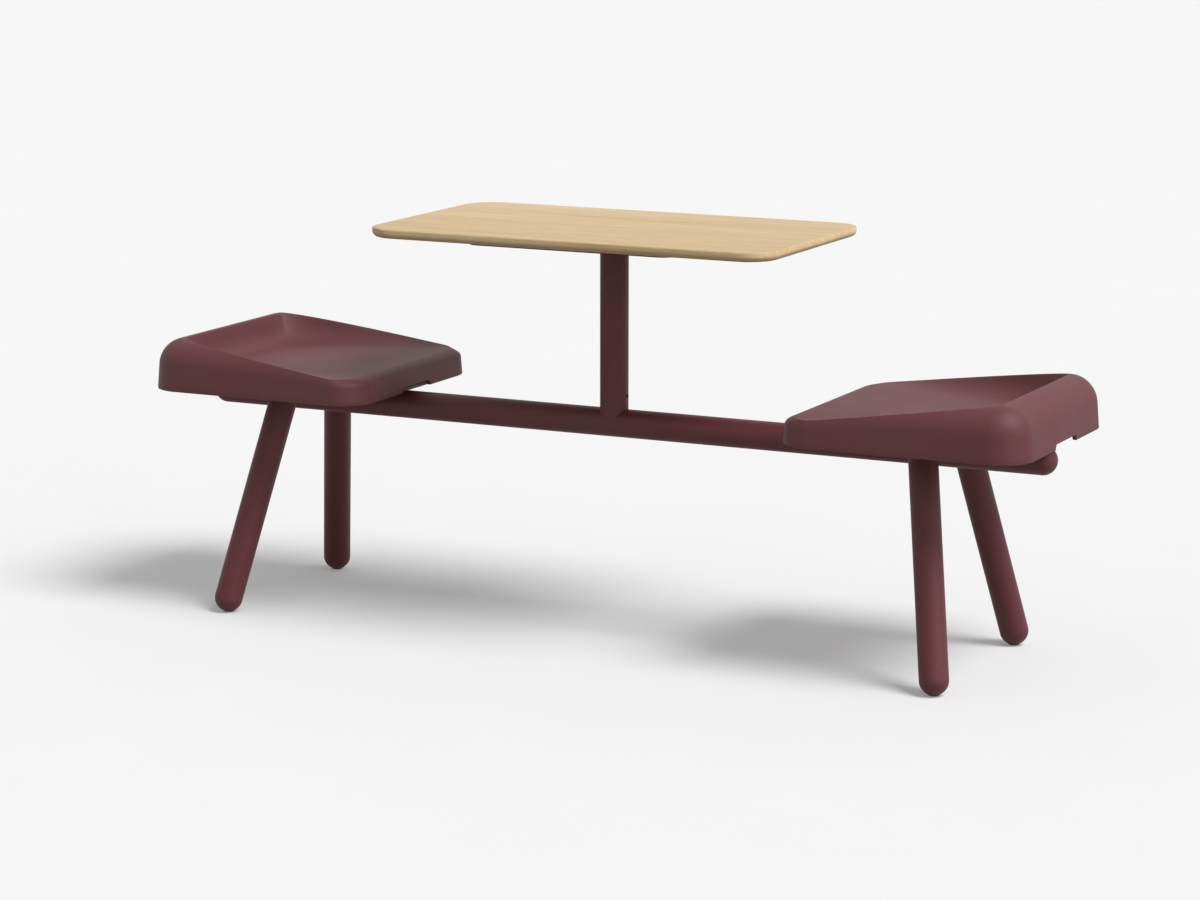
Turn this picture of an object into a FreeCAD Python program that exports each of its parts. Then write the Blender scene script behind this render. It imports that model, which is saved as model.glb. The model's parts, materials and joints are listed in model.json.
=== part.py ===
import FreeCAD, Part
import math
import os

Vec = FreeCAD.Vector
X_AXIS = Vec(1, 0, 0)
Y_AXIS = Vec(0, 1, 0)
Z_AXIS = Vec(0, 0, 1)

# All sizes are in millimetres. The origin is on the floor under the column,
# +X runs along the beam to the right hand seat, +Y to the back and +Z up.

# Round steel tube shared by the beam, the column and the legs
tube_radius = 25.5
tube_wall = 3.0

# Beam, a level tube closed by a dome at each end
beam_axis_height = 376.5
beam_half_length = 830.0

# Legs, splayed tubes that stand on a domed end with a plastic glide
leg_top_inset = 206.8
leg_top_y = 94.2
leg_splay_x = 67.1
leg_splay_y = 103.3
glide_height = 0.8
glide_thickness = 1.2
glide_radius = 9.5
glide_stem_radius = 4.0
glide_stem_length = 10.0

# Steel plate that carries each seat and a pair of legs
plate_thickness = 6.0
plate_inner_margin = 18.0
plate_outer_margin = 70.5
plate_half_width = 140.0
plate_corner_radius = 25.0
saddle_length = 40.0
saddle_half_width = 34.0
saddle_depth = 14.0
saddle_inner_offset = -123.2
saddle_outer_offset = 81.8

# Moulded seat: outer form
seat_length = 443.5
seat_overhang = 15.5
seat_half_width = 223.7
seat_corner_radius = 62.0
seat_wall_lean = 4.5
seat_above_beam = 3.5
low_end_height = 46.5
rim_height_at_inner_end = 38.7
rim_slope = 0.1378
edge_roll = 44.5
side_roll_reach = 4.0
inner_roll_depth = 13.0
inner_roll_reach = 23.0
inner_roll_reach_inside = 12.0
ridge_straight = 8.0
ridge_corner_y = 47.5
roll_steps = 7

# Moulded seat: dish, walls and underside
dish_floor_slope = -0.022
dish_floor_end_margin = 65.5
dish_floor_half_width = 190.0
dish_floor_corner_x = 60.0
dish_floor_corner_y = 42.0
dish_rim_land = 1.5
dish_overshoot = 8.0
dish_overshoot_spread = 4.0
dish_start_gap = 0.5
skirt_wall = 8.0
top_wall = 8.0
notch_half_width_bottom = 54.0
notch_half_width_top = 50.0
notch_height = 9.5
boss_radius = 20.0
boss_inner_margin = 68.0
boss_outer_margin = 109.5
boss_y = 96.0

# Seat fixings: M8 screws driven up through the plate into moulded-in inserts
seat_screw_radius = 4.0
seat_screw_head_radius = 7.0
seat_screw_head_height = 4.5
seat_screw_socket = 5.0
seat_screw_grip = 14.0
seat_insert_radius = 6.5
seat_insert_length = 18.0
seat_washer_radius = 9.0
seat_washer_thickness = 1.6
screw_hole_clearance = 0.5
screw_tip_clearance = 1.0

# Column, spigot and lock screw
spigot_radius = 19.0
spigot_wall = 5.0
spigot_height = 115.0
spigot_fit = 0.05
sleeve_foot_gap = 3.0
stop_disc_thickness = 8.0
cope_clearance = 0.3
lock_screw_radius = 4.0
lock_screw_above_beam = 24.4
lock_screw_fit = 0.05
lock_screw_recess = 1.2
lock_screw_tip_gap = 0.1
lock_screw_socket = 4.0
lock_screw_socket_depth = 3.0

# Tabletop and its support plate
tabletop_height = 728.9
tabletop_length = 778.0
tabletop_width = 446.0
tabletop_thickness = 17.0
tabletop_corner_radius = 58.0
tabletop_under_round = 10.5
tabletop_top_round = 2.5
support_length = 392.0
support_width = 384.0
support_thickness = 5.0
support_corner_radius = 22.0
top_screw_radius = 3.0
top_screw_head_radius = 5.5
top_screw_head_height = 3.0
top_screw_socket = 4.0
top_screw_grip = 9.0
top_insert_radius = 4.5
top_insert_length = 12.0
top_screw_margin_x = 35.0
top_screw_margin_y = 42.0

# Places and levels that follow from the sizes above
beam_top = beam_axis_height + tube_radius
plate_top = beam_top + plate_thickness
foot_height = glide_height + tube_radius
tube_bore = tube_radius - tube_wall
seat_outer_x = beam_half_length + seat_overhang
seat_inner_x = seat_outer_x - seat_length
seat_rim_height = beam_top + seat_above_beam
leg_top_x = beam_half_length - leg_top_inset
lean_rate = math.tan(math.radians(seat_wall_lean))
side_roll_cut = edge_roll - math.sqrt(edge_roll ** 2 - (edge_roll - side_roll_reach) ** 2)
rim_start_x = seat_inner_x + (low_end_height - rim_height_at_inner_end) / (rim_slope - dish_floor_slope)
dish_floor_outer_x = seat_outer_x - dish_floor_end_margin
spigot_top = beam_top + spigot_height
lock_screw_height = beam_top + lock_screw_above_beam
support_top = tabletop_height - tabletop_thickness
support_bottom = support_top - support_thickness
plate_inner_x = seat_inner_x + plate_inner_margin
plate_outer_x = seat_outer_x - plate_outer_margin

# Reach of a cutting tool past the solid that it cuts
overcut = 100.0


def tube_between(start, end, outer, inner):
    axis = end - start
    body = Part.makeCylinder(outer, axis.Length, start, axis)
    return body.cut(Part.makeCylinder(inner, axis.Length, start, axis))


def dome_shell(centre, direction):
    """Half of a hollow ball that closes a tube; direction points out of the dome."""
    ball = Part.makeSphere(tube_radius, centre)
    hollow = Part.makeSphere(tube_bore, centre)
    keep = Part.makeCylinder(tube_radius + overcut, tube_radius + overcut, centre, direction)
    return ball.cut(hollow).common(keep)


def rounded_plate(x_low, x_high, half_width, z_low, thickness, radius):
    plate = Part.makeBox(x_high - x_low, 2 * half_width, thickness, Vec(x_low, -half_width, z_low))
    upright = [e for e in plate.Edges if abs(e.tangentAt(e.FirstParameter).z) > 0.99]
    return plate.makeFillet(radius, upright)


def slab(x_low, x_high, y_half, z_low, z_high):
    return Part.makeBox(x_high - x_low, 2 * y_half, z_high - z_low, Vec(x_low, -y_half, z_low))


def hexagon_bar(across_flats, length, base, axis):
    """Hexagonal prism, used to sink a key socket into a screw."""
    reach = across_flats / math.sqrt(3.0)
    corners = []
    for step in range(6):
        angle = math.radians(60 * step)
        corners.append(Vec(reach * math.cos(angle), reach * math.sin(angle), 0))
    wire = Part.makePolygon(corners + corners[:1])
    bar = Part.Face(wire).extrude(Vec(0, 0, length))
    bar.Placement = FreeCAD.Placement(base, FreeCAD.Rotation(Z_AXIS, axis))
    return bar


def mirrored(shape):
    return shape.mirror(Vec(0, 0, 0), X_AXIS)


# Beam

def make_beam_tube():
    end = beam_half_length - tube_radius
    left = Vec(-end, 0, beam_axis_height)
    right = Vec(end, 0, beam_axis_height)
    return tube_between(left, right, tube_radius, tube_bore)


def make_beam_end(side):
    centre = Vec(side * (beam_half_length - tube_radius), 0, beam_axis_height)
    return dome_shell(centre, X_AXIS * side)


# Legs

def leg_points(side_x, side_y):
    top = Vec(side_x * leg_top_x, side_y * leg_top_y, beam_top)
    foot = Vec(side_x * (leg_top_x + leg_splay_x), side_y * (leg_top_y + leg_splay_y), foot_height)
    return foot, top


def make_leg(side_x, side_y):
    """Tube from the dome up to the underside of the seat plate, where it is cut level."""
    foot, top = leg_points(side_x, side_y)
    direction = (top - foot).normalize()
    leg = tube_between(foot, top + direction * tube_radius, tube_radius, tube_bore)
    above = Part.makeBox(4 * tube_radius, 4 * tube_radius, overcut)
    above.translate(Vec(top.x - 2 * tube_radius, top.y - 2 * tube_radius, beam_top))
    return leg.cut(above)


def glide_stem(side_x, side_y):
    foot, top = leg_points(side_x, side_y)
    return Part.makeCylinder(glide_stem_radius, glide_stem_length, Vec(foot.x, foot.y, 0))


def make_leg_dome(side_x, side_y):
    foot, top = leg_points(side_x, side_y)
    dome = dome_shell(foot, foot - top)
    return dome.cut(glide_stem(side_x, side_y))


def make_glide(side_x, side_y):
    """Plastic cap that follows the dome above it, flat where it meets the floor, with a stem."""
    foot, top = leg_points(side_x, side_y)
    cap = Part.makeSphere(tube_radius + glide_thickness, foot)
    cap = cap.common(Part.makeCylinder(glide_radius, foot_height, Vec(foot.x, foot.y, 0)))
    cap = cap.cut(Part.makeSphere(tube_radius, foot))
    return cap.fuse(glide_stem(side_x, side_y)).removeSplitter()


# Seat plate and the saddles that seat it on the round beam

def seat_screw_places():
    places = []
    for x in (seat_inner_x + boss_inner_margin, seat_outer_x - boss_outer_margin):
        for y in (-boss_y, boss_y):
            places.append(Vec(x, y, 0))
    return places


def make_seat_plate():
    plate = rounded_plate(plate_inner_x, plate_outer_x, plate_half_width, beam_top,
                          plate_thickness, plate_corner_radius)
    for place in seat_screw_places():
        base = Vec(place.x, place.y, beam_top - overcut)
        hole_radius = seat_screw_radius + screw_hole_clearance
        plate = plate.cut(Part.makeCylinder(hole_radius, 2 * overcut, base))
    return plate


def make_saddles():
    beam = Part.makeCylinder(tube_radius, 2 * beam_half_length,
                             Vec(-beam_half_length, 0, beam_axis_height), X_AXIS)
    saddles = []
    for x in (leg_top_x + saddle_inner_offset, leg_top_x + saddle_outer_offset):
        block = slab(x - saddle_length / 2, x + saddle_length / 2, saddle_half_width,
                     beam_top - saddle_depth, beam_top)
        saddles += block.cut(beam).Solids
    return Part.makeCompound(saddles)


# Moulded seat

def rim_plane(x):
    """Height of the sloping plane that the raised rim lies in."""
    return seat_rim_height + rim_height_at_inner_end + rim_slope * (x - seat_inner_x)


def floor_plane(x):
    """Height of the dish floor, which is also the top of the seat's low inner end."""
    return seat_rim_height + low_end_height + dish_floor_slope * (x - seat_inner_x)


def roll_inset(depth, roll_depth, roll_reach):
    """How far a rounded edge stands back from its wall at a depth below its top."""
    if depth >= roll_depth:
        return 0.0
    rise = 1 - depth / roll_depth
    return roll_reach * (1 - math.sqrt(1 - rise ** 2))


def line(start, end):
    return Part.LineSegment(start, end).toShape()


def corner_arc(point, side, centre_x, size_x, size_y, start, end):
    """Part of an elliptic corner of an outline, between two angles in degrees.

    point(x, q, side) gives a point q inwards from the side wall. The angle is 0 on the
    end wall and 90 on the side wall, and size_x is negative for a corner at the inner end.
    """
    half_turn = math.radians(end - start) / 2

    def on_ellipse(angle, stretch):
        x = centre_x + size_x * stretch * math.cos(math.radians(angle))
        return point(x, size_y * (1 - stretch * math.sin(math.radians(angle))), side)

    middle = on_ellipse((start + end) / 2, 1 / math.cos(half_turn))
    curve = Part.BezierCurve()
    curve.setPoles([on_ellipse(start, 1), middle, on_ellipse(end, 1)])
    curve.setWeight(2, math.cos(half_turn))
    return curve.toShape()


def wall_x(level, depth, edge_x, direction):
    """X of an end wall where it meets the plane that lies depth below a level."""
    x = edge_x
    for repeat in range(3):
        x = edge_x + direction * lean_rate * (level(x) - depth - seat_rim_height)
    return x


def ridge_outer_x():
    return wall_x(rim_plane, 0, seat_outer_x, -1) - edge_roll


def ridge_corner_x():
    """Length of the ridge's outer corners, which almost reach the corners at the inner end."""
    low_centre = wall_x(rim_plane, 0, seat_inner_x, 1) + seat_corner_radius
    return ridge_outer_x() - low_centre - ridge_straight


def side_y(z, depth, inset):
    """Half width of the seat at a height; the dish leaves only the lower part of its roll."""
    rolled = roll_inset(side_roll_cut + depth, edge_roll, edge_roll)
    return seat_half_width - inset - rolled - lean_rate * (z - seat_rim_height)


def slice_point(level, depth, inset):
    """Function that gives points of the plane that lies depth below a level."""
    def point(x, q, side):
        z = level(x) - depth
        return Vec(x, side * (side_y(z, depth, inset) - q), z)
    return point


def inner_corner(level, depth, inset, reach):
    """Centre, size along X and size along Y of a corner at the seat's low inner end."""
    rolled = roll_inset(depth, inner_roll_depth, reach)
    size_y = seat_corner_radius - inset
    size_x = size_y - rolled
    centre_x = wall_x(level, depth, seat_inner_x + inset, 1) + rolled + size_x
    return centre_x, size_x, size_y


def raised_outline(depth, inset, reach):
    """Outline of the raised part of the seat, depth below the rim plane.

    It starts where the rim rises out of the floor. The edge is rounded more and more
    from the sides towards the outer end, so the outer corners grow into long ellipses.
    """
    point = slice_point(rim_plane, depth, inset)
    outer_inset = roll_inset(depth, edge_roll, edge_roll)
    outer = wall_x(rim_plane, depth, seat_outer_x - inset, -1) - outer_inset
    rounded = outer_inset / edge_roll
    corner_x = seat_corner_radius - inset + (ridge_corner_x() - seat_corner_radius) * rounded
    corner_y = seat_corner_radius - inset + (ridge_corner_y - seat_corner_radius) * rounded
    low_centre, low_x, low_y = inner_corner(rim_plane, depth, inset, reach)
    split = math.degrees(math.acos((low_centre - rim_start_x) / low_x))
    edges = []
    for side in (-1, 1):
        edges += [corner_arc(point, side, low_centre, -low_x, low_y, split, 90),
                  line(point(low_centre, 0, side), point(outer - corner_x, 0, side)),
                  corner_arc(point, side, outer - corner_x, corner_x, corner_y, 0, 90)]
    edges.append(line(point(outer, corner_y, -1), point(outer, corner_y, 1)))
    q = low_y * (1 - math.sin(math.radians(split)))
    edges.append(line(point(rim_start_x, q, -1), point(rim_start_x, q, 1)))
    return Part.Wire(Part.__sortEdges__(edges))


def low_end_outline(depth, inset, reach):
    """Outline of the seat's low inner end, depth below the floor plane."""
    point = slice_point(floor_plane, depth, inset)
    centre, size_x, size_y = inner_corner(floor_plane, depth, inset, reach)
    split = math.degrees(math.acos((centre - rim_start_x) / size_x))
    edges = [corner_arc(point, side, centre, -size_x, size_y, 0, split) for side in (-1, 1)]
    edges.append(line(point(centre - size_x, size_y, -1), point(centre - size_x, size_y, 1)))
    q = size_y * (1 - math.sin(math.radians(split)))
    edges.append(line(point(rim_start_x, q, -1), point(rim_start_x, q, 1)))
    return Part.Wire(Part.__sortEdges__(edges))


def rolled_form(outline, roll, inset, reach):
    """Loft from the top outline round the rolled edge and down the leaning walls."""
    depths = []
    for step in range(roll_steps + 1):
        depths.append(roll * (1 - math.cos(math.radians(90 * step / roll_steps))))
    depths.append(roll + overcut)
    wires = [outline(depth, inset, reach) for depth in depths]
    return Part.makeLoft(wires, True, True)


def seat_block(inset, drop, reach):
    """Solid seat form, set in by inset all round and lowered by drop at the top."""
    raised = rolled_form(raised_outline, edge_roll, inset, reach)
    low_end = rolled_form(low_end_outline, inner_roll_depth, inset, reach)
    block = raised.fuse(low_end)
    block.translate(Vec(0, 0, -drop))
    keep = slab(seat_inner_x - overcut, seat_outer_x + overcut, seat_half_width + overcut,
                seat_rim_height, seat_rim_height + 2 * overcut)
    return block.common(keep)


def dish_loop(point, outer, corner_x, corner_y, split_x):
    """Closed outline of the dish, with each side split at split_x, straight or in its corner."""
    start = rim_start_x + dish_start_gap
    centre_x = outer - corner_x
    edges = [line(point(start, 0, -1), point(start, 0, 1)),
             line(point(outer, corner_y, -1), point(outer, corner_y, 1))]
    for side in (-1, 1):
        if split_x < centre_x:
            edges += [line(point(start, 0, side), point(split_x, 0, side)),
                      line(point(split_x, 0, side), point(centre_x, 0, side)),
                      corner_arc(point, side, centre_x, corner_x, corner_y, 0, 90)]
        else:
            split = math.degrees(math.acos((split_x - centre_x) / corner_x))
            edges += [line(point(start, 0, side), point(centre_x, 0, side)),
                      corner_arc(point, side, centre_x, corner_x, corner_y, split, 90),
                      corner_arc(point, side, centre_x, corner_x, corner_y, 0, split)]
    return Part.Wire(Part.__sortEdges__(edges))


def dish_rim_outer_x():
    return ridge_outer_x() - dish_rim_land


def dish_floor_outline(growth):
    """Outline of the dish floor, lowered and widened by growth."""
    def point(x, q, side):
        return Vec(x, side * (dish_floor_half_width + growth - q), floor_plane(x) - growth)
    return dish_loop(point, dish_floor_outer_x + growth, dish_floor_corner_x + growth,
                     dish_floor_corner_y + growth, dish_rim_outer_x() - ridge_corner_x())


def dish_rim_outline(growth, above):
    """Outline of the dish at a height above the rim plane, widened by growth."""
    spread = growth + dish_overshoot_spread * above / dish_overshoot

    def point(x, q, side):
        y = side_y(rim_plane(x), 0, 0) - dish_rim_land + spread
        return Vec(x, side * (y - q), rim_plane(x) + above)
    return dish_loop(point, dish_rim_outer_x() + spread, ridge_corner_x() + spread,
                     ridge_corner_y + spread, dish_floor_outer_x - dish_floor_corner_x)


def dish_tool(growth):
    """Space of the dish, grown all round by growth; a grown one shapes the underside."""
    wires = [dish_floor_outline(growth), dish_rim_outline(growth, 0), dish_rim_outline(growth, dish_overshoot)]
    return Part.makeLoft(wires, True, True)


def notch_tool():
    """Trapezoid cut through the skirt at both ends, over the beam."""
    low = seat_rim_height - 1
    corners = [Vec(0, -notch_half_width_bottom, low), Vec(0, notch_half_width_bottom, low),
               Vec(0, notch_half_width_top, seat_rim_height + notch_height),
               Vec(0, -notch_half_width_top, seat_rim_height + notch_height)]
    face = Part.Face(Part.makePolygon(corners + corners[:1]))
    face.translate(Vec(seat_inner_x - overcut, 0, 0))
    return face.extrude(Vec(seat_length + 2 * overcut, 0, 0))


def make_seat_shell():
    block = seat_block(0, 0, inner_roll_reach)
    cavity = seat_block(skirt_wall, top_wall, inner_roll_reach_inside).cut(dish_tool(top_wall))
    bosses = [Part.makeCylinder(boss_radius, overcut, Vec(place.x, place.y, plate_top))
              for place in seat_screw_places()]
    for boss in bosses:
        cavity = cavity.cut(boss)
    shell = block.cut(dish_tool(0)).cut(cavity).cut(notch_tool())
    for place in seat_screw_places():
        pocket = Part.makeCylinder(seat_insert_radius, seat_insert_length, Vec(place.x, place.y, plate_top))
        shell = shell.cut(pocket)
    return shell.Solids[0]


def make_seat_inserts():
    inserts = []
    for place in seat_screw_places():
        base = Vec(place.x, place.y, plate_top)
        insert = Part.makeCylinder(seat_insert_radius, seat_insert_length, base)
        thread_length = seat_screw_grip + screw_tip_clearance
        inserts.append(insert.cut(Part.makeCylinder(seat_screw_radius, thread_length, base)))
    return Part.makeCompound(inserts)


def make_seat_washers():
    washers = []
    for place in seat_screw_places():
        base = Vec(place.x, place.y, beam_top - seat_washer_thickness)
        washer = Part.makeCylinder(seat_washer_radius, seat_washer_thickness, base)
        hole_radius = seat_screw_radius + screw_hole_clearance
        washers.append(washer.cut(Part.makeCylinder(hole_radius, seat_washer_thickness, base)))
    return Part.makeCompound(washers)


def make_seat_screws():
    """Socket screws with a domed button head, driven from below."""
    screws = []
    under_head = beam_top - seat_washer_thickness
    for place in seat_screw_places():
        shank_length = seat_washer_thickness + plate_thickness + seat_screw_grip
        shank = Part.makeCylinder(seat_screw_radius, shank_length, Vec(place.x, place.y, under_head))
        head = Part.makeCylinder(seat_screw_head_radius, seat_screw_head_height,
                                 Vec(place.x, place.y, under_head - seat_screw_head_height))
        lowest = [e for e in head.Edges if abs(e.BoundBox.ZMax - head.BoundBox.ZMin) < 0.01]
        head = head.makeFillet(0.6 * seat_screw_head_height, lowest)
        socket = hexagon_bar(seat_screw_socket, 0.6 * seat_screw_head_height,
                             Vec(place.x, place.y, under_head - seat_screw_head_height), Z_AXIS)
        screws.append(shank.fuse(head).cut(socket))
    return Part.makeCompound(screws)


# Column, which stands on a spigot welded to the beam and lifts off it

def beam_cutter(clearance):
    return Part.makeCylinder(tube_radius + clearance, 8 * tube_radius,
                             Vec(-4 * tube_radius, 0, beam_axis_height), X_AXIS)


def make_spigot():
    low = beam_axis_height
    post = tube_between(Vec(0, 0, low), Vec(0, 0, spigot_top), spigot_radius, spigot_radius - spigot_wall)
    above_beam = slab(-overcut, overcut, overcut, beam_axis_height, spigot_top + overcut)
    return post.cut(beam_cutter(0)).common(above_beam)


def lock_screw_hole():
    return Part.makeCylinder(lock_screw_radius + lock_screw_fit, 2 * tube_radius,
                             Vec(0, 0, lock_screw_height), X_AXIS)


def make_column_tube():
    """Column tube, coped at its foot so that it straddles the beam."""
    foot = Vec(0, 0, beam_axis_height)
    column = tube_between(foot, Vec(0, 0, support_bottom), tube_radius, tube_bore)
    return column.cut(beam_cutter(cope_clearance)).cut(lock_screw_hole())


def make_column_sleeve():
    """Bush inside the column's foot that slides on the spigot and holds the lock screw."""
    foot = Vec(0, 0, beam_top + sleeve_foot_gap)
    sleeve = tube_between(foot, Vec(0, 0, spigot_top), tube_bore, spigot_radius + spigot_fit)
    return sleeve.cut(lock_screw_hole())


def make_stop_disc():
    """Disc inside the column that rests on the spigot's end and carries the table."""
    return Part.makeCylinder(tube_bore, stop_disc_thickness, Vec(0, 0, spigot_top))


def make_lock_screw():
    tip = spigot_radius + lock_screw_tip_gap
    length = tube_radius - lock_screw_recess - tip
    screw = Part.makeCylinder(lock_screw_radius, length, Vec(tip, 0, lock_screw_height), X_AXIS)
    socket_start = tip + length - lock_screw_socket_depth
    socket = hexagon_bar(lock_screw_socket, 2 * lock_screw_socket_depth,
                         Vec(socket_start, 0, lock_screw_height), X_AXIS)
    return screw.cut(socket)


# Tabletop

def top_screw_places():
    places = []
    reach_x = support_length / 2 - top_screw_margin_x
    reach_y = support_width / 2 - top_screw_margin_y
    for x in (-reach_x, 0.0, reach_x):
        for y in (-reach_y, reach_y):
            places.append(Vec(x, y, 0))
    return places


def make_support_plate():
    plate = rounded_plate(-support_length / 2, support_length / 2, support_width / 2, support_bottom,
                          support_thickness, support_corner_radius)
    for place in top_screw_places():
        base = Vec(place.x, place.y, support_bottom - overcut)
        hole_radius = top_screw_radius + screw_hole_clearance
        plate = plate.cut(Part.makeCylinder(hole_radius, 2 * overcut, base))
    return plate


def make_tabletop():
    top = rounded_plate(-tabletop_length / 2, tabletop_length / 2, tabletop_width / 2, support_top,
                        tabletop_thickness, tabletop_corner_radius)
    lower = [e for e in top.Edges if e.BoundBox.ZMax < support_top + 0.01]
    top = top.makeFillet(tabletop_under_round, lower)
    upper = [e for e in top.Edges if e.BoundBox.ZMin > tabletop_height - 0.01]
    top = top.makeFillet(tabletop_top_round, upper)
    for place in top_screw_places():
        pocket = Part.makeCylinder(top_insert_radius, top_insert_length, Vec(place.x, place.y, support_top))
        top = top.cut(pocket)
    return top


def make_top_inserts():
    inserts = []
    for place in top_screw_places():
        base = Vec(place.x, place.y, support_top)
        insert = Part.makeCylinder(top_insert_radius, top_insert_length, base)
        thread_length = top_screw_grip + screw_tip_clearance
        inserts.append(insert.cut(Part.makeCylinder(top_screw_radius, thread_length, base)))
    return Part.makeCompound(inserts)


def make_top_screws():
    screws = []
    for place in top_screw_places():
        shank = Part.makeCylinder(top_screw_radius, support_thickness + top_screw_grip,
                                  Vec(place.x, place.y, support_bottom))
        head_base = Vec(place.x, place.y, support_bottom - top_screw_head_height)
        head = Part.makeCylinder(top_screw_head_radius, top_screw_head_height, head_base)
        lowest = [e for e in head.Edges if abs(e.BoundBox.ZMax - head.BoundBox.ZMin) < 0.01]
        head = head.makeFillet(0.6 * top_screw_head_height, lowest)
        socket = hexagon_bar(top_screw_socket, 0.6 * top_screw_head_height, head_base, Z_AXIS)
        screws.append(shank.fuse(head).cut(socket))
    return Part.makeCompound(screws)


# All the pieces by name

def all_parts():
    parts = {"beam_tube": make_beam_tube(), "column_spigot": make_spigot()}
    for side, name in ((-1, "left"), (1, "right")):
        parts["beam_end_" + name] = make_beam_end(side)
    seat_pieces = {
        "seat_plate": make_seat_plate(),
        "beam_saddles": make_saddles(),
        "seat_shell": make_seat_shell(),
        "seat_inserts": make_seat_inserts(),
        "seat_washers": make_seat_washers(),
        "seat_screws": make_seat_screws(),
    }
    for name, shape in seat_pieces.items():
        parts[name + "_right"] = shape
        parts[name + "_left"] = mirrored(shape)
    for side_x, name_x in ((-1, "left"), (1, "right")):
        for side_y, name_y in ((-1, "front"), (1, "rear")):
            place = name_y + "_" + name_x
            parts["leg_tube_" + place] = make_leg(side_x, side_y)
            parts["leg_dome_" + place] = make_leg_dome(side_x, side_y)
            parts["foot_glide_" + place] = make_glide(side_x, side_y)
    parts["column_tube"] = make_column_tube()
    parts["column_sleeve"] = make_column_sleeve()
    parts["column_stop_disc"] = make_stop_disc()
    parts["lock_screw"] = make_lock_screw()
    parts["table_support_plate"] = make_support_plate()
    parts["tabletop"] = make_tabletop()
    parts["tabletop_inserts"] = make_top_inserts()
    parts["tabletop_screws"] = make_top_screws()
    return parts


os.makedirs("parts", exist_ok=True)
for part_name, part_shape in all_parts().items():
    solids = len(part_shape.Solids)
    box = part_shape.optimalBoundingBox(True, False)
    print(part_name, "solids", solids, "valid", part_shape.isValid(),
          "volume", round(part_shape.Volume), "x %.1f %.1f y %.1f %.1f z %.1f %.1f"
          % (box.XMin, box.XMax, box.YMin, box.YMax, box.ZMin, box.ZMax))
    part_shape.exportStep("parts/" + part_name + ".step")
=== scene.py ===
import json
import math

import bpy
import numpy as np
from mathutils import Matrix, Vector


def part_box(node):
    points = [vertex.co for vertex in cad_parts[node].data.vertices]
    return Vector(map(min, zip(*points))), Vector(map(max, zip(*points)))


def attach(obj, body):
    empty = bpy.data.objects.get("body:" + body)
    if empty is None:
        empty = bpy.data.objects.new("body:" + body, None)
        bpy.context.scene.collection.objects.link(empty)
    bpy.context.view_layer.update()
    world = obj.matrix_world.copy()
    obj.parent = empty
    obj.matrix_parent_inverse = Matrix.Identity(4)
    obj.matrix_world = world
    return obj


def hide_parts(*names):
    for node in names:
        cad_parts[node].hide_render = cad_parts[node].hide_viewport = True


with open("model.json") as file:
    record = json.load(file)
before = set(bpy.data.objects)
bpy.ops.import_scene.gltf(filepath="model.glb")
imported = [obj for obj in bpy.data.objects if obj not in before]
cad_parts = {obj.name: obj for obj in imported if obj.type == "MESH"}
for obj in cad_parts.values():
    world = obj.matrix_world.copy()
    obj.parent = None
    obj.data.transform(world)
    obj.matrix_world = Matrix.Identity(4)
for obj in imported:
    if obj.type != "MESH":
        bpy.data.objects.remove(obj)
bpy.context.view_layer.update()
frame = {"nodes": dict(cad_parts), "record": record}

MM = 0.001


def box_in_mm(node):
    """Lowest and highest corner of one of the frame's nodes, to a hundredth of a millimetre."""
    return [[round(value / MM, 2) for value in corner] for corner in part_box(node)]


# Camera: place in metres and turns in degrees, as fitted to the photograph
CAMERA_PLACE = (2.7811, -5.7415, 1.5478)
CAMERA_TILT = 79.16
CAMERA_ROLL = -0.034
CAMERA_TURN = 26.07
CAMERA_LENS_MM = 109.06
CAMERA_SENSOR_MM = 36.0
CAMERA_SHIFT_X = -0.0005
CAMERA_REACH = 400.0

# Light: level of the dome, and of the backdrop that the camera and mirrors see instead
DOME_LEVEL = 0.317
BACKDROP_LEVEL = 0.922

# Floor: half its size in metres, the greys that it shows, the grey that it throws back, and its glow
FLOOR_HALF_SIZE = 120.0
FLOOR_DARKER = 0.752
FLOOR_LIGHTER = 0.760
FLOOR_BOUNCE = 0.24
FLOOR_GLOW = 0.165

# Right hand seat, in millimetres like all that follows. Its outer sizes and its place are the frame's.
seat_low, seat_high = box_in_mm("seat_shell_right")
SEAT_INNER_X = seat_low[0]
SEAT_OUTER_X = seat_high[0]
SEAT_HALF_WIDTH = seat_high[1]
SKIRT_BOTTOM = seat_low[2]
SEAT_CORNER = 62.0
WALL_LEAN = math.tan(math.radians(4.5))

# Rim and dish floor: heights at the seat's inner end, slopes along X, and how softly the two join
RIM_AT_INNER_END = SKIRT_BOTTOM + 38.65
RIM_SLOPE = 0.1378
FLOOR_AT_INNER_END = SKIRT_BOTTOM + 46.5
FLOOR_SLOPE = -0.022
RIM_BLEND = 1.2

# Ridge, the dish's upper edge. A corner is given as its sizes along X and Y.
RIDGE_INNER_X = SEAT_INNER_X + 26.7
RIDGE_OUTER_X = SEAT_OUTER_X - 53.9
RIDGE_HALF_WIDTH = SEAT_HALF_WIDTH - 3.7
RIDGE_INNER_CORNER = (38.0, 54.0)
RIDGE_OUTER_CORNER = (318.0, 47.4)

# Crease, where the dish's wall would meet its floor without a rounding
CREASE_INNER_X = SEAT_INNER_X + 48.0
CREASE_OUTER_X = SEAT_OUTER_X - 68.5
CREASE_HALF_WIDTH = SEAT_HALF_WIDTH - 37.7
CREASE_INNER_CORNER = (54.0, 58.0)
CREASE_OUTER_CORNER = (110.0, 74.0)

# Dish's wall: a narrow land inside the ridge, a small rounding below it and a wide one over the crease,
# and the most of the wall that each rounding may take
CREST_LAND = 1.5
CREST_ROUND = 3.5
CREST_MOST = 0.45
CREASE_ROUND = 36.0
CREASE_MOST = 0.8

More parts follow.
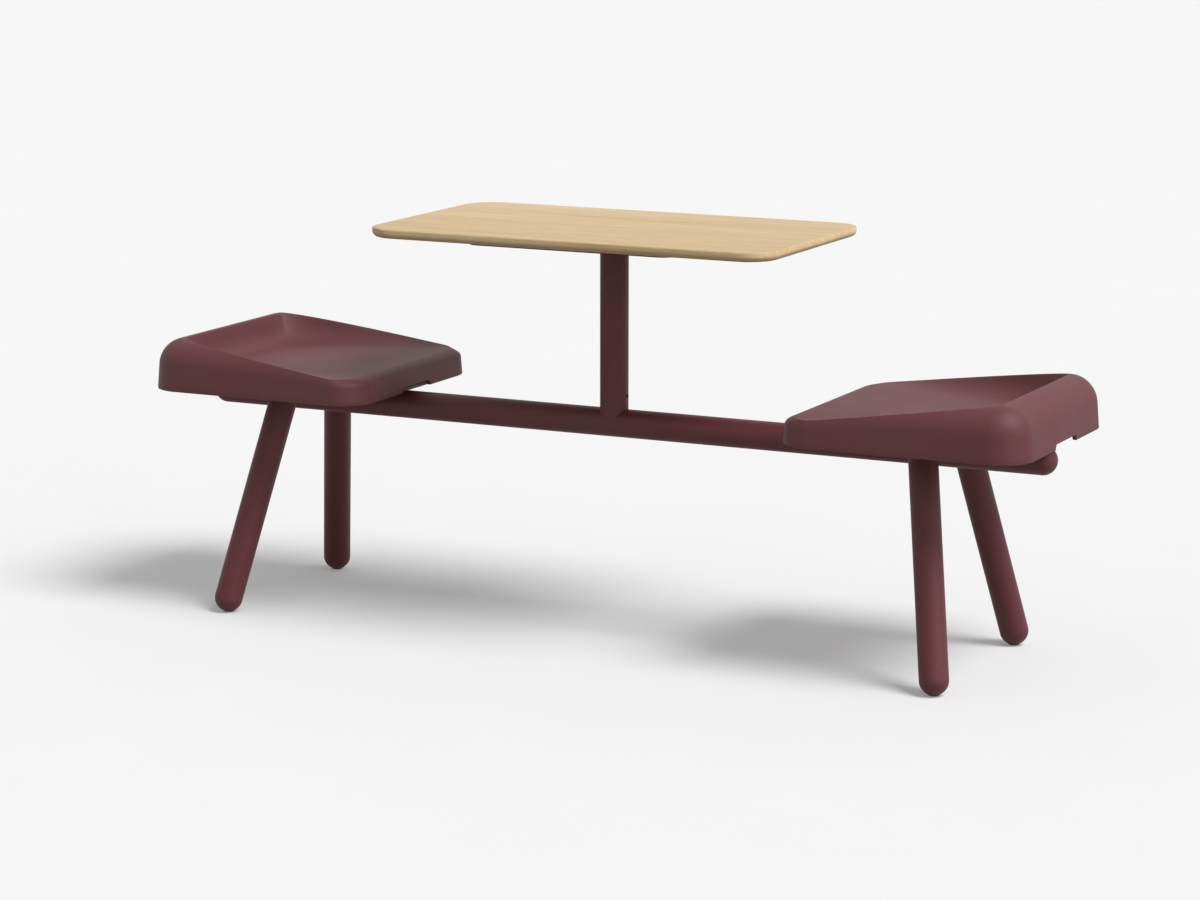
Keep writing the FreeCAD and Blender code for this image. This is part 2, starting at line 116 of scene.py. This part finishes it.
# Rounding of the seat's top edge: it is small at the inner end and grows to full size over the fade
INNER_FILLET = 28.0
INNER_FILLET_DEPTH = 12.6
INNER_FILLET_FADE = 110.0
FILLET = 44.4

# Skirt, with a notch over the beam at both ends. The middle of the lower edge's rounding lies at the
# given share of its radius from both faces.
SKIRT_WALL = 8.0
SKIRT_ROOF = SKIRT_BOTTOM + 29.9
SKIRT_EDGE_ROUND = 1.6
SKIRT_EDGE_MIDDLE = 0.3
NOTCH_HALF_BOTTOM = 54.0
NOTCH_HALF_TOP = 50.0
NOTCH_HEIGHT = 9.5

# Bosses inside the skirt, which stand on the seat plate
BOSS_RADIUS = 20.0
BOSS_TAPER = 1.0
BOSS_BOTTOM = box_in_mm("seat_plate_right")[1][2]
BOSS_X = (SEAT_INNER_X + 68.0, SEAT_OUTER_X - 109.5)
BOSS_Y = (96.0, -96.0)

# Mesh: spacing of points on straight runs, points for each corner, rings for each stretch, points round
# a boss, and the angle in degrees above which an edge stays sharp
OUTLINE_STEP = 9.0
OUTLINE_CORNER_STEPS = 22
RIDGE_STEP = 2.0
RIDGE_CORNER_STEPS = 160
CREASE_STEP = 0.5
CREASE_CORNER_STEPS = 400
ROLL_STEPS = 12
WALL_STEPS = 4
BOSS_STEPS = 32
SHARP_ANGLE = 40.0

# Slack for comparing numbers
SAME_PLACE = 1e-6
LOOP_SLACK = 1e-9
NEARLY_ZERO = 1e-12


# Colours and shader nodes

def rgb(red, green, blue):
    """An opaque colour, as sockets and ramps take it."""
    return (red, green, blue, 1.0)


def grey(level):
    return rgb(level, level, level)


# A mix node has sockets of the same name for each kind of value; these are its places for colours
MIX_FACTOR = 0
MIX_FIRST = 6
MIX_SECOND = 7
MIX_RESULT = 2


class Nodes:
    """The emptied node tree of a material or a world, with short ways to add and link nodes."""

    def __init__(self, owner):
        owner.use_nodes = True
        self.owner = owner
        self.tree = owner.node_tree
        self.tree.nodes.clear()

    def add(self, kind, inputs=None, **settings):
        """Adds a node; each input is another node's socket or a plain value."""
        node = self.tree.nodes.new(kind)
        for key, value in settings.items():
            setattr(node, key, value)
        for key, value in (inputs or {}).items():
            self.feed(node.inputs[key], value)
        return node

    def feed(self, socket, value):
        if isinstance(value, bpy.types.NodeSocket):
            self.tree.links.new(value, socket)
        else:
            socket.default_value = value

    def coordinates(self, kind="Object"):
        return self.add("ShaderNodeTexCoord").outputs[kind]

    def stretch(self, vector, scale):
        return self.add("ShaderNodeMapping", {"Vector": vector, "Scale": scale}).outputs["Vector"]

    def part(self, vector, axis):
        return self.add("ShaderNodeSeparateXYZ", {"Vector": vector}).outputs[axis]

    def noise(self, vector, scale, detail=3.0, roughness=0.5, distortion=0.0):
        node = self.add("ShaderNodeTexNoise", {"Vector": vector, "Scale": scale, "Detail": detail,
                                               "Roughness": roughness, "Distortion": distortion})
        return node.outputs["Fac"]

    def ramp(self, factor, stops):
        node = self.add("ShaderNodeValToRGB", {"Fac": factor})
        elements = node.color_ramp.elements
        while len(elements) < len(stops):
            elements.new(stops[len(elements) - 1][0])
        for element, (position, color) in zip(elements, stops):
            element.position = position
            element.color = color
        return node.outputs["Color"]

    def spread(self, factor, low, high, new_low, new_high):
        """Maps the range low to high onto new_low to new_high."""
        node = self.add("ShaderNodeMapRange", {"Value": factor, "From Min": low, "From Max": high,
                                               "To Min": new_low, "To Max": new_high})
        return node.outputs["Result"]

    def calculate(self, operation, *values, **settings):
        inputs = dict(enumerate(values))
        return self.add("ShaderNodeMath", inputs, operation=operation, **settings).outputs["Value"]

    def mix(self, factor, first, second, mode="MIX"):
        inputs = {MIX_FACTOR: factor, MIX_FIRST: first, MIX_SECOND: second}
        return self.add("ShaderNodeMix", inputs, data_type="RGBA", blend_type=mode).outputs[MIX_RESULT]

    def multiply(self, first, second):
        return self.mix(1.0, first, second, "MULTIPLY")

    def bump(self, height, strength, distance):
        inputs = {"Height": height, "Strength": strength, "Distance": distance}
        return self.add("ShaderNodeBump", inputs).outputs["Normal"]


class Material(Nodes):
    """A node material under construction."""

    def __init__(self, name):
        super().__init__(bpy.data.materials.new(name))

    def surface(self, **inputs):
        """Ends the material with one principled shader. An underscore is a space in an input's name."""
        named = {key.replace("_", " "): value for key, value in inputs.items()}
        shader = self.add("ShaderNodeBsdfPrincipled", named)
        self.add("ShaderNodeOutputMaterial", {"Surface": shader.outputs["BSDF"]})
        return self.owner


# Materials

def burgundy_coat(name, dark, light, roughness, gloss_level, peel_scale, peel_depth):
    """Wine red coat with a fine orange peel, faint clouds of colour and a soft sheen."""
    coat = Material(name)
    place = coat.coordinates()
    clouds = coat.noise(place, scale=7.0, detail=4.0, roughness=0.6)
    specks = coat.noise(place, scale=420.0, detail=2.0, roughness=0.6)
    peel = coat.noise(place, scale=peel_scale, detail=3.0, roughness=0.55)
    tint = coat.ramp(clouds, ((0.32, dark), (0.68, light)))
    speck_tint = coat.ramp(specks, ((0.40, grey(0.90)), (0.62, rgb(1.06, 1.05, 1.05))))
    color = coat.multiply(tint, speck_tint)
    gloss = coat.spread(clouds, 0.3, 0.7, roughness - 0.04, roughness + 0.05)
    normal = coat.bump(peel, strength=0.22, distance=peel_depth)
    return coat.surface(Base_Color=color, Roughness=gloss, Normal=normal, Specular_IOR_Level=gloss_level)


def frame_paint():
    return burgundy_coat("frame_paint", dark=rgb(0.115, 0.0260, 0.0324), light=rgb(0.133, 0.0298, 0.0372),
                         roughness=0.54, gloss_level=0.38, peel_scale=900.0, peel_depth=0.0003)


def seat_plastic():
    return burgundy_coat("seat_plastic", dark=rgb(0.104, 0.0217, 0.0274), light=rgb(0.119, 0.0249, 0.0313),
                         roughness=0.63, gloss_level=0.55, peel_scale=1500.0, peel_depth=0.0002)


def glide_plastic():
    """Black plastic, greyed and roughened by scuffs."""
    plastic = Material("glide_plastic")
    scuffs = plastic.noise(plastic.coordinates(), scale=160.0, detail=4.0, roughness=0.7)
    color = plastic.ramp(scuffs, ((0.35, rgb(0.010, 0.010, 0.011)), (0.75, rgb(0.034, 0.033, 0.033))))
    gloss = plastic.spread(scuffs, 0.3, 0.7, 0.42, 0.62)
    normal = plastic.bump(scuffs, strength=0.2, distance=0.0004)
    return plastic.surface(Base_Color=color, Roughness=gloss, Normal=normal)


def plated_metal(name, dark, light, roughness):
    """Metal with faint stains and fine, level brush marks."""
    metal = Material(name)
    place = metal.coordinates()
    brushed = metal.noise(metal.stretch(place, (1.0, 1.0, 12.0)), scale=90.0, detail=3.0, roughness=0.6)
    stains = metal.noise(place, scale=60.0, detail=3.0, roughness=0.6)
    color = metal.ramp(stains, ((0.3, dark), (0.7, light)))
    gloss = metal.spread(brushed, 0.3, 0.7, roughness - 0.08, roughness + 0.1)
    normal = metal.bump(brushed, strength=0.15, distance=0.0003)
    return metal.surface(Base_Color=color, Roughness=gloss, Metallic=1.0, Normal=normal)


def staves(wood, width, shift):
    """Coordinates moved apart from stave to stave, and a number from 0 to 1 for each stave."""
    place = wood.coordinates()
    across = wood.calculate("MULTIPLY", wood.part(place, "Y"), 1.0 / width)
    count = wood.calculate("FLOOR", across)
    tone = wood.add("ShaderNodeTexWhiteNoise", {"W": count}, noise_dimensions="1D").outputs["Value"]
    along = wood.calculate("MULTIPLY", tone, shift)
    moved = wood.add("ShaderNodeCombineXYZ", {"X": along, "Y": tone, "Z": along}).outputs["Vector"]
    own = wood.add("ShaderNodeVectorMath", {0: place, 1: moved}, operation="ADD").outputs["Vector"]
    return own, tone


def oak():
    """Pale lacquered oak: staves along X with long grain and pores, and painted light that makes the side
    faces paler than the top.
    """
    wood = Material("oak")
    own, stave_tone = staves(wood, width=0.074, shift=5.0)
    long_grain = wood.stretch(own, (1.0, 14.0, 14.0))
    fine_grain = wood.stretch(own, (1.0, 60.0, 60.0))
    figure = wood.noise(long_grain, scale=3.2, detail=4.0, roughness=0.55, distortion=0.6)
    streaks = wood.noise(long_grain, scale=11.0, detail=5.0, roughness=0.62, distortion=0.3)
    pores = wood.noise(fine_grain, scale=22.0, detail=3.0, roughness=0.6)
    # Painted light: the last tint makes faces that turn to the side up to 30 % paler, standing in for light
    # on the top's edges
    painted_side_light_mask = wood.calculate("ABSOLUTE", wood.part(wood.coordinates("Normal"), "Z"))
    color = wood.ramp(figure, ((0.28, rgb(0.655, 0.478, 0.274)), (0.50, rgb(0.703, 0.533, 0.316)),
                               (0.74, rgb(0.745, 0.582, 0.362))))
    tints = (
        wood.ramp(streaks, ((0.32, rgb(0.91, 0.885, 0.845)), (0.66, rgb(1.02, 1.015, 1.01)))),
        wood.ramp(pores, ((0.33, rgb(0.80, 0.76, 0.70)), (0.46, grey(1.0)))),
        wood.ramp(stave_tone, ((0.0, rgb(0.94, 0.925, 0.90)), (1.0, rgb(1.04, 1.045, 1.06)))),
        # Painted light: faces turned to the side are made paler than the top
        wood.ramp(painted_side_light_mask, ((0.10, rgb(1.30, 1.30, 1.26)), (0.60, grey(1.0)))),
    )
    for tint in tints:
        color = wood.multiply(color, tint)
    gloss = wood.spread(pores, 0.3, 0.6, 0.70, 0.56)
    normal = wood.bump(pores, strength=0.25, distance=0.0003)
    return wood.surface(Base_Color=color, Roughness=gloss, Normal=normal, Specular_IOR_Level=0.25)


# Loops of points

def rounded_loop(x_low, x_high, y_half, low_corner, high_corner, step, corner_steps, extra_y=()):
    """Points round a rectangle with elliptic corners, starting beside a corner of the high end.

    Returns the points and their inward normals. extra_y adds points on the two ends.
    """
    points = []
    normals = []

    def side(start, end, inward, fixed=()):
        start = np.array(start, float)
        end = np.array(end, float)
        length = np.linalg.norm(end - start)
        shares = set(np.linspace(0, 1, max(2, int(length / step)), endpoint=False))
        for y in fixed:
            shares.add((y - start[1]) / (end[1] - start[1]))
        for share in sorted(shares):
            points.append(start + (end - start) * share)
            normals.append(inward)

    def corner(centre, size, first_angle):
        for k in range(corner_steps):
            angle = math.radians(first_angle + 90.0 * k / corner_steps)
            points.append((centre[0] + size[0] * math.cos(angle), centre[1] + size[1] * math.sin(angle)))
            outward = np.array((math.cos(angle) / size[0], math.sin(angle) / size[1]))
            normals.append(-outward / np.linalg.norm(outward))

    high_x = x_high - high_corner[0]
    high_y = y_half - high_corner[1]
    low_x = x_low + low_corner[0]
    low_y = y_half - low_corner[1]
    side((x_high, -high_y), (x_high, high_y), (-1, 0), extra_y)
    corner((high_x, high_y), high_corner, 0)
    side((high_x, y_half), (low_x, y_half), (0, -1))
    corner((low_x, low_y), low_corner, 90)
    side((x_low, low_y), (x_low, -low_y), (1, 0), extra_y)
    corner((low_x, -low_y), low_corner, 180)
    side((low_x, -y_half), (high_x, -y_half), (0, 1))
    corner((high_x, -high_y), high_corner, 270)
    return np.array(points, float), np.array(normals, float)


def distance_along(points, directions, loop):
    """How far each ray travels before it first crosses a closed loop."""
    ends = np.roll(loop, -1, axis=0)
    edges = ends - loop
    found = []
    for point, direction in zip(points, directions):
        offset = loop - point
        cross = direction[0] * edges[:, 1] - direction[1] * edges[:, 0]
        cross = np.where(np.abs(cross) < NEARLY_ZERO, NEARLY_ZERO, cross)
        travel = (offset[:, 0] * edges[:, 1] - offset[:, 1] * edges[:, 0]) / cross
        share = (offset[:, 0] * direction[1] - offset[:, 1] * direction[0]) / cross
        hits = travel[(share >= -LOOP_SLACK) & (share <= 1 + LOOP_SLACK) & (travel > 0)]
        found.append(hits.min())
    return np.array(found)


def nearest_on(points, loop):
    """The point of a closed loop of points that lies nearest to each given point."""
    gaps = np.linalg.norm(points[:, None, :] - loop[None, :, :], axis=2)
    return loop[gaps.argmin(axis=1)]


# Form of the seat

def floor_height(x):
    """Height of the dish's floor, which falls gently towards the outer end."""
    return FLOOR_AT_INNER_END + FLOOR_SLOPE * (x - SEAT_INNER_X)


def rim_height(x):
    """Height of the seat's edge: the floor at the low end, then the rising rim, softly joined."""
    above = RIM_AT_INNER_END + RIM_SLOPE * (x - SEAT_INNER_X) - floor_height(x)
    return floor_height(x) + RIM_BLEND * np.logaddexp(0, above / RIM_BLEND)


def leaned(height):
    """How far inward the leaning wall has come at a height."""
    return WALL_LEAN * (height - SKIRT_BOTTOM)


def edge_fillet(x):
    """Width and depth of the rounding along the seat's top edge, smaller at the low end."""
    share = np.clip((x - SEAT_INNER_X) / INNER_FILLET_FADE, 0, 1)
    share = share * share * (3 - 2 * share)
    width = INNER_FILLET + (FILLET - INNER_FILLET) * share
    depth = INNER_FILLET_DEPTH + (FILLET - INNER_FILLET_DEPTH) * share
    return width, depth


def lower_edge(points):
    """Height of the skirt's lower edge at each point of the outline, raised over the beam at the ends."""
    x = points[:, 0]
    share = (NOTCH_HALF_BOTTOM - np.abs(points[:, 1])) / (NOTCH_HALF_BOTTOM - NOTCH_HALF_TOP)
    at_end = (np.abs(x - SEAT_OUTER_X) < SAME_PLACE) | (np.abs(x - SEAT_INNER_X) < SAME_PLACE)
    return np.where(at_end, SKIRT_BOTTOM + NOTCH_HEIGHT * np.clip(share, 0, 1), SKIRT_BOTTOM)


def ridge_loop():
    """The dish's upper edge seen from above, drawn in with the leaning walls beside it."""
    loop = rounded_loop(RIDGE_INNER_X, RIDGE_OUTER_X, RIDGE_HALF_WIDTH, RIDGE_INNER_CORNER,
                        RIDGE_OUTER_CORNER, RIDGE_STEP, RIDGE_CORNER_STEPS)[0]
    loop[:, 1] *= 1 - leaned(rim_height(loop[:, 0])) / RIDGE_HALF_WIDTH
    return loop


def crease_loop():
    """The foot of the dish's wall seen from above, in points so close that the nearest one will do."""
    return rounded_loop(CREASE_INNER_X, CREASE_OUTER_X, CREASE_HALF_WIDTH, CREASE_INNER_CORNER,
                        CREASE_OUTER_CORNER, CREASE_STEP, CREASE_CORNER_STEPS)[0]


class Outline:
    """The seat's outline at the skirt's lower edge: its points and the way inward from each."""

    def __init__(self):
        notch_points = (-NOTCH_HALF_BOTTOM, -NOTCH_HALF_TOP, NOTCH_HALF_TOP, NOTCH_HALF_BOTTOM)
        corner = (SEAT_CORNER, SEAT_CORNER)
        self.points, self.inward = rounded_loop(SEAT_INNER_X, SEAT_OUTER_X, SEAT_HALF_WIDTH, corner, corner,
                                                OUTLINE_STEP, OUTLINE_CORNER_STEPS, notch_points)

    def moved_in(self, inset):
        """The outline moved inward, by one inset or by one for each point."""
        return self.points + self.inward * np.broadcast_to(inset, len(self.points))[:, None]

    def ring(self, inset, height):
        """The outline moved inward and raised to one height, or to one for each point."""
        return np.column_stack((self.moved_in(inset), np.broadcast_to(height, len(self.points))))


def skirt_rings(outline, bottom):
    """Rings from the roof under the dish down inside the skirt and round its lower edge."""
    middle = SKIRT_EDGE_MIDDLE * SKIRT_EDGE_ROUND
    return [outline.ring(SKIRT_WALL + leaned(SKIRT_ROOF), SKIRT_ROOF),
            outline.ring(SKIRT_WALL, bottom + SKIRT_EDGE_ROUND),
            outline.ring(SKIRT_WALL - SKIRT_EDGE_ROUND, bottom),
            outline.ring(SKIRT_EDGE_ROUND, bottom),
            outline.ring(middle, bottom + middle)]


def wall_rings(outline, bottom, roll_foot):
    """Rings up the leaning outer wall, as far as the ring where the top edge begins to round."""
    rings = []
    low = bottom + SKIRT_EDGE_ROUND
    for step in range(WALL_STEPS):
        height = low + (roll_foot - low) * step / WALL_STEPS
        rings.append(outline.ring(leaned(height), height))
    return rings


def roll_rings(outline, width, depth, start, roll_foot):
    """Rings over the rounded top edge, a part of an ellipse that ends at the ridge."""
    rings = []
    for step in range(ROLL_STEPS + 1):
        tilt = math.pi / 2 + (start - math.pi / 2) * step / ROLL_STEPS
        height = roll_foot + depth * np.cos(tilt)
        rings.append(outline.ring(leaned(height) + width * (1 - np.sin(tilt)), height))
    return rings


def bend(first, pull, last):
    """Rings on the curve from the first ring to the last, pulled towards a third; the first is left out."""
    rings = []
    for step in range(1, ROLL_STEPS + 1):
        share = step / ROLL_STEPS
        rings.append(first * (1 - share) ** 2 + pull * 2 * share * (1 - share) + last * share ** 2)
    return rings


def dish_rings(ridge, top, crease):
    """Rings from the ridge over a narrow land and down the dish's wall, which rounds into the floor."""
    inward = crease - ridge
    inward /= np.linalg.norm(inward, axis=1)[:, None]
    flat = crease + inward * CREASE_ROUND

    def raised(plan, height):
        return np.column_stack((plan, height))

    start = raised(ridge, top)
    upper = raised(ridge + inward * CREST_LAND, top)
    lower = raised(crease, floor_height(crease[:, 0]))
    end = raised(flat, floor_height(flat[:, 0]))
    length = np.linalg.norm(lower - upper, axis=1)
    crest_share = np.minimum(CREST_ROUND / length, CREST_MOST)[:, None]
    crease_share = np.minimum(CREASE_ROUND / length, CREASE_MOST)[:, None]
    wall_top = upper + (lower - upper) * crest_share
    wall_foot = lower + (upper - lower) * crease_share
    return bend(start, upper, wall_top) + [wall_foot] + bend(wall_foot, lower, end)


def seat_rings():
    """Closed rings of points, from the underside round the edge and down into the dish.

    The dish cuts into the rounded edge, so the ridge is crisp where the dish is wide.
    """
    outline = Outline()
    reach = distance_along(outline.points, outline.inward, ridge_loop())
    ridge = outline.moved_in(reach)
    top = rim_height(ridge[:, 0])
    bottom = lower_edge(outline.points)
    roll = reach - leaned(top)
    width, depth = edge_fillet(outline.points[:, 0])
    depth *= np.maximum(roll / width, 1)
    width = np.maximum(width, roll)
    start = np.arcsin(1 - roll / width)
    roll_foot = top - depth * np.cos(start)
    rings = skirt_rings(outline, bottom)
    rings += wall_rings(outline, bottom, roll_foot)
    rings += roll_rings(outline, width, depth, start, roll_foot)
    rings += dish_rings(ridge, top, nearest_on(ridge, crease_loop()))
    return rings


def lofted_faces(rings):
    """Faces between each ring and the next, and one across the first and the last ring."""
    count = len(rings[0])
    faces = []
    for k in range(len(rings) - 1):
        for i in range(count):
            following = (i + 1) % count
            faces.append((k * count + i, k * count + following,
                          (k + 1) * count + following, (k + 1) * count + i))
    faces.append(tuple(range((len(rings) - 1) * count, len(rings) * count)))
    faces.append(tuple(reversed(range(count))))
    return faces


def boss(x, y):
    """Slightly tapered boss under the seat, down to the seat plate."""
    vertices = []
    for radius, height in ((BOSS_RADIUS + BOSS_TAPER, SKIRT_ROOF), (BOSS_RADIUS, BOSS_BOTTOM)):
        for k in range(BOSS_STEPS):
            angle = 2 * math.pi * k / BOSS_STEPS
            vertices.append((x + radius * math.cos(angle), y + radius * math.sin(angle), height))
    faces = []
    for k in range(BOSS_STEPS):
        following = (k + 1) % BOSS_STEPS
        faces.append((k, following, BOSS_STEPS + following, BOSS_STEPS + k))
    faces.append(tuple(range(BOSS_STEPS, 2 * BOSS_STEPS)))
    return vertices, faces


def mesh_object(name, vertices, faces, material):
    """Object made from vertices in millimetres in the part's frame."""
    mesh = bpy.data.meshes.new(name)
    mesh.from_pydata([tuple(vertex) for vertex in np.asarray(vertices) * MM], [], faces)
    mesh.validate()
    mesh.shade_smooth()
    mesh.set_sharp_from_angle(angle=math.radians(SHARP_ANGLE))
    mesh.materials.append(material)
    made = bpy.data.objects.new(name, mesh)
    bpy.context.scene.collection.objects.link(made)
    return made


def seat(name, side, material):
    """Moulded seat; side is 1 for the right hand one and -1 for its mirror image."""
    rings = seat_rings()
    vertices = np.concatenate(rings)
    faces = lofted_faces(rings)
    for x in BOSS_X:
        for y in BOSS_Y:
            boss_vertices, boss_faces = boss(x, y)
            first = len(vertices)
            vertices = np.concatenate((vertices, boss_vertices))
            faces += [tuple(first + k for k in face) for face in boss_faces]
    if side < 0:
        vertices = vertices * np.array((-1.0, 1.0, 1.0))
        faces = [tuple(reversed(face)) for face in faces]
    made = mesh_object(name, vertices, faces, material)
    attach(made, "bench")
    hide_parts("seat_shell_" + name.split("_")[0])


# Dressing of the carried-over pieces

def dress(materials):
    """Gives every piece of the frame the material that is made for its slot."""
    for entry in frame["record"]["subparts"]:
        node = frame["nodes"][entry["node"]]
        node.data.materials.clear()
        node.data.materials.append(materials[entry["material_slot"]])


# Stage: floor, light and camera

def seen_rays(nodes):
    """1 for rays from the camera or by way of a mirror or glass, and 0 for rays that only light."""
    rays = nodes.add("ShaderNodeLightPath").outputs
    seen = rays["Is Camera Ray"]
    for kind in ("Is Glossy Ray", "Is Transmission Ray"):
        seen = nodes.calculate("ADD", seen, rays[kind], use_clamp=True)
    return seen


def floor_paper():
    """Pale paper that throws less light back than it shows to the camera."""
    paper = Material("floor_paper")
    mottle = paper.noise(paper.coordinates(), scale=3.0, detail=2.0)
    shown = paper.ramp(mottle, ((0.3, grey(FLOOR_DARKER)), (0.7, grey(FLOOR_LIGHTER))))
    seen = seen_rays(paper)
    color = paper.mix(seen, grey(FLOOR_BOUNCE), shown)
    glow = paper.calculate("MULTIPLY", seen, FLOOR_GLOW)
    return paper.surface(Base_Color=color, Roughness=0.95, Specular_IOR_Level=0.0,
                         Emission_Color=grey(1.0), Emission_Strength=glow)


def studio_floor():
    """Wide level floor that keeps the object's shadow."""
    size = FLOOR_HALF_SIZE
    corners = [(-size, -size, 0.0), (size, -size, 0.0), (size, size, 0.0), (-size, size, 0.0)]
    mesh = bpy.data.meshes.new("studio_floor")
    mesh.from_pydata(corners, [], [(0, 1, 2, 3)])
    mesh.materials.append(floor_paper())
    made = bpy.data.objects.new("studio_floor", mesh)
    bpy.context.scene.collection.objects.link(made)


def sun_lamp(name, towards, strength, spread):
    """Soft light from far away; towards points at the light and spread is its width in degrees."""
    lamp = bpy.data.lights.new(name, "SUN")
    lamp.energy = strength
    lamp.angle = math.radians(spread)
    made = bpy.data.objects.new(name, lamp)
    made.rotation_mode = "QUATERNION"
    made.rotation_quaternion = Vector(towards).to_track_quat("Z", "Y")
    bpy.context.scene.collection.objects.link(made)


def studio_light():
    """Even dome seen as a pale backdrop, and soft light from above, low on the right and behind."""
    world = bpy.data.worlds.new("studio")
    bpy.context.scene.world = world
    nodes = Nodes(world)
    level = nodes.spread(seen_rays(nodes), 0.0, 1.0, DOME_LEVEL, BACKDROP_LEVEL)
    dome = nodes.add("ShaderNodeBackground", {"Color": grey(1.0), "Strength": level})
    nodes.add("ShaderNodeOutputWorld", {"Surface": dome.outputs["Background"]})
    sun_lamp("key_light", towards=(0.56, -0.117, 0.82), strength=2.36, spread=27)
    sun_lamp("low_fill", towards=(0.95, -0.15, 0.28), strength=0.634, spread=60)
    sun_lamp("back_fill", towards=(-0.15, 0.88, 0.42), strength=0.10, spread=80)


def photo_camera():
    data = bpy.data.cameras.new("photo_camera")
    data.lens = CAMERA_LENS_MM
    data.sensor_width = CAMERA_SENSOR_MM
    data.shift_x = CAMERA_SHIFT_X
    data.clip_end = CAMERA_REACH
    made = bpy.data.objects.new("photo_camera", data)
    made.location = CAMERA_PLACE
    made.rotation_euler = (math.radians(CAMERA_TILT), math.radians(CAMERA_ROLL), math.radians(CAMERA_TURN))
    bpy.context.scene.collection.objects.link(made)
    bpy.context.scene.camera = made


photo_camera()
seat_material = seat_plastic()
dress({
    "frame_paint": frame_paint(),
    "seat_plastic": seat_material,
    "glide_plastic": glide_plastic(),
    "wood": oak(),
    "zinc_steel": plated_metal("zinc_steel", dark=rgb(0.42, 0.43, 0.44), light=rgb(0.60, 0.61, 0.62),
                               roughness=0.34),
    "black_steel": plated_metal("black_steel", dark=rgb(0.020, 0.019, 0.020),
                                light=rgb(0.045, 0.043, 0.044), roughness=0.5),
    "brass": plated_metal("brass", dark=rgb(0.55, 0.40, 0.17), light=rgb(0.71, 0.55, 0.27),
                          roughness=0.32),
})
seat("right_seat", 1, seat_material)
seat("left_seat", -1, seat_material)
studio_floor()
studio_light()
bpy.context.scene.view_settings.view_transform = "Standard"
